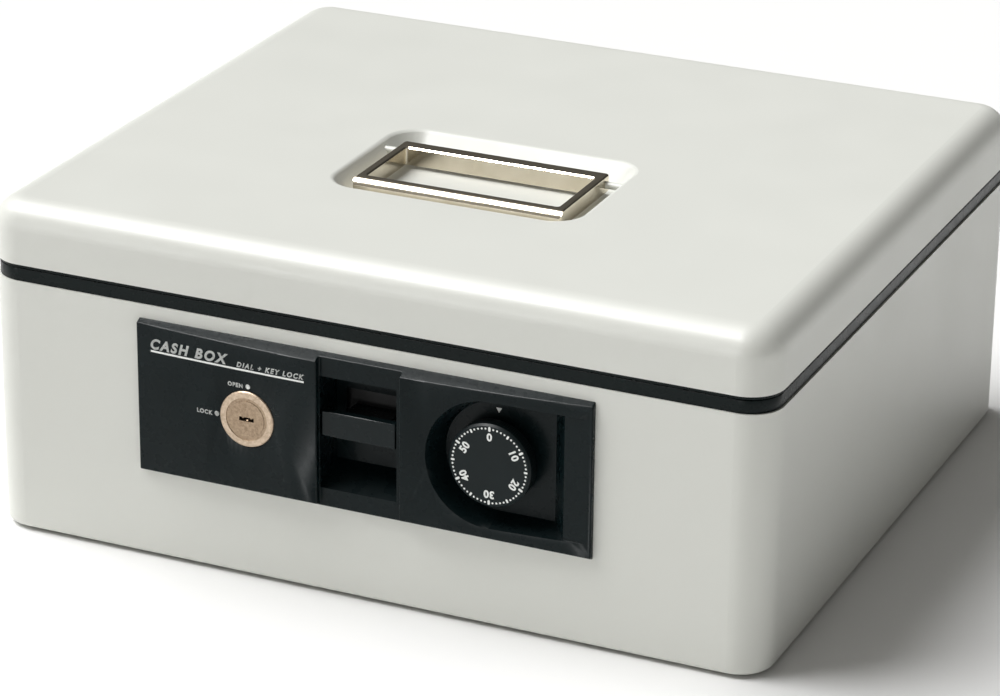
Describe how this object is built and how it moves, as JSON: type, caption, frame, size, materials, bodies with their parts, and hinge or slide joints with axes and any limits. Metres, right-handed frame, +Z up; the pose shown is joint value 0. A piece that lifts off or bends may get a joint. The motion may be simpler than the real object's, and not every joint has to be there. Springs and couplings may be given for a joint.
{
  "type": "cash box",
  "caption": "Lockable steel cash box with a hinged lid, combination dial, key lock, push-up latch, fold-flat lid handle and lift-out tray.",
  "frame": {"origin": "on the surface the box stands on, under the middle of its outline", "axes": "+X to the right seen from the front, the lock side faces -Y, +Z up"},
  "size_m": [0.35, 0.318, 0.1488],
  "materials": {
    "case_paint": "satin light grey enamel",
    "seam_plastic": "satin black moulding",
    "panel_plastic": "satin near-black moulding",
    "latch_plastic": "semi-gloss black moulding",
    "dial_plastic": "satin black moulding with white figures",
    "escutcheon_metal": "satin champagne nickel",
    "plug_metal": "satin champagne nickel",
    "handle_plate": "bright champagne nickel plating",
    "steel": "zinc-plated steel",
    "hinge_steel": "nickel-plated steel",
    "black_steel": "black phosphated steel",
    "spring_steel": "spring wire",
    "brass": "turned brass",
    "rubber": "black rubber",
    "tray_plastic": "dark grey moulding",
    "felt": "black felt"
  },
  "bodies": {
    "case": {"body_shell": "case_paint", "rubber_feet": "rubber", "rim_frame": "seam_plastic", "lock_panel": "panel_plastic", "panel_screws": "steel", "lock_mount_plate": "steel", "lock_cover": "case_paint", "cover_screws": "steel", "latch_frame": "steel", "frame_screws": "steel", "hook_pin": "steel", "guide_pins": "steel", "spindle_bush": "brass", "wheel_spacers": "brass", "key_escutcheon": "escutcheon_metal", "lock_cylinder": "plug_metal", "cylinder_nut": "steel", "tray_rail_left": "case_paint", "tray_rail_right": "case_paint", "hinge_body_leaf_left": "hinge_steel", "hinge_body_leaf_right": "hinge_steel", "hinge_pin_left": "hinge_steel", "hinge_pin_right": "hinge_steel", "body_hinge_rivets": "hinge_steel", "floor_mat": "felt", "latch_spring_left": "spring_steel", "latch_spring_right": "spring_steel"},
    "lid": {"lid_shell": "case_paint", "lid_frame": "seam_plastic", "striker": "steel", "hinge_lid_leaf_left": "hinge_steel", "hinge_lid_leaf_right": "hinge_steel", "lid_hinge_rivets": "hinge_steel", "handle_bracket_left": "steel", "handle_bracket_right": "steel", "handle_pin_left": "case_paint", "handle_pin_right": "case_paint", "handle_bumpers": "rubber"},
    "handle": {"handle_ring": "handle_plate"},
    "dial": {"dial_knob": "dial_plastic", "dial_spindle": "steel", "drive_cam": "brass", "spindle_nut": "steel"},
    "wheel_1": {"tumbler_wheel_1": "brass"},
    "wheel_2": {"tumbler_wheel_2": "brass"},
    "wheel_3": {"tumbler_wheel_3": "brass"},
    "key": {"key_plug": "plug_metal", "plug_cam": "steel", "cam_screw": "steel"},
    "latch": {"latch_bar": "latch_plastic", "latch_slide_plate": "black_steel", "slide_rivets": "steel", "fence_bar": "steel"},
    "hook": {"latch_hook": "steel"},
    "tray": {"coin_tray": "tray_plastic"}
  },
  "joints": [
    {"name": "lid_hinge", "type": "hinge", "parent": "case", "child": "lid", "pos_m": [0, 0.15625, 0.12035], "axis": [-1, 0, 0], "range_deg": [0, 100]},
    {"name": "handle_fold", "type": "hinge", "parent": "lid", "child": "handle", "pos_m": [0, -0.01625, 0.1448], "axis": [-1, 0, 0], "range_deg": [0, 90]},
    {"name": "dial_spin", "type": "hinge", "parent": "case", "child": "dial", "pos_m": [0.0584, -0.158, 0.0744], "axis": [0, 1, 0], "continuous": true},
    {"name": "wheel_1_spin", "type": "hinge", "parent": "case", "child": "wheel_1", "pos_m": [0.0584, -0.1443, 0.0744], "axis": [0, 1, 0], "continuous": true},
    {"name": "wheel_2_spin", "type": "hinge", "parent": "case", "child": "wheel_2", "pos_m": [0.0584, -0.1391, 0.0744], "axis": [0, 1, 0], "continuous": true},
    {"name": "wheel_3_spin", "type": "hinge", "parent": "case", "child": "wheel_3", "pos_m": [0.0584, -0.1339, 0.0744], "axis": [0, 1, 0], "continuous": true},
    {"name": "key_turn", "type": "hinge", "parent": "case", "child": "key", "pos_m": [-0.05, -0.159, 0.0745], "axis": [0, 1, 0], "range_deg": [0, 90]},
    {"name": "latch_slide", "type": "slide", "parent": "case", "child": "latch", "axis": [0, 0, 1], "range_m": [0, 0.006], "stiffness_N_per_m": 300, "springref_m": -0.004, "deforming": ["latch_spring_left", "latch_spring_right"]},
    {"name": "hook_pivot", "type": "hinge", "parent": "case", "child": "hook", "pos_m": [-0.00065, -0.1218, 0.092], "axis": [-1, 0, 0], "range_deg": [0, 26]},
    {"name": "tray_lift", "type": "slide", "parent": "case", "child": "tray", "axis": [0, 0, 1], "range_m": [0, 0.018]}
  ],
  "couplings": [
    {"joint": "wheel_1_spin", "follows": "dial_spin", "ratio": 1},
    {"joint": "wheel_2_spin", "follows": "dial_spin", "ratio": 1},
    {"joint": "wheel_3_spin", "follows": "dial_spin", "ratio": 1},
    {"joint": "hook_pivot", "follows": "latch_slide", "rad_per_m": 71.174}
  ]
}
